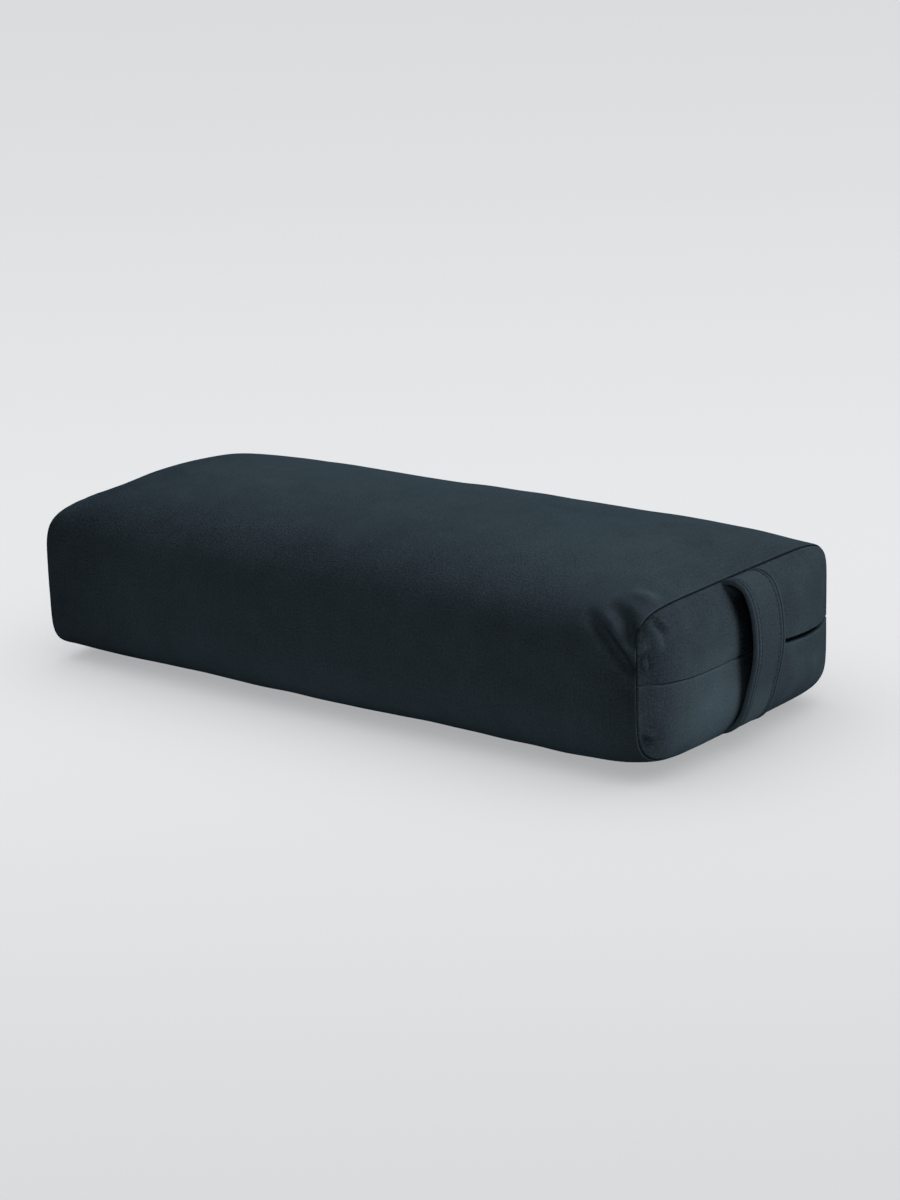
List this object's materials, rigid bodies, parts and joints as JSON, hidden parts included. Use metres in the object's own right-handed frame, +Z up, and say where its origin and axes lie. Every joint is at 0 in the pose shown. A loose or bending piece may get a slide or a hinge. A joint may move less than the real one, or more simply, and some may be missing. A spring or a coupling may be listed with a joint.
{
  "type": "yoga bolster",
  "caption": "Firm rectangular floor cushion in a dark fabric cover, rounded at its corners, with a flat carrying strap bowed over one end.",
  "frame": {"origin": "middle of the flat underside, halfway between the two end seams", "axes": "+X along the length, out of the end that carries the strap; +Y across the width; +Z up"},
  "size_m": [0.6872, 0.3096, 0.1683],
  "materials": {
    "cover_fabric": "matte, closely woven cotton with a slight nap, deep slate blue",
    "strap_fabric": "matte, doubled cloth in the cover's colour, topstitched along both edges"
  },
  "bodies": {
    "root": {"cushion": "cover_fabric", "end_panel_upper": "cover_fabric", "end_panel_lower": "cover_fabric", "end_panel_far": "cover_fabric", "carry_strap": "strap_fabric"}
  },
  "joints": []
}
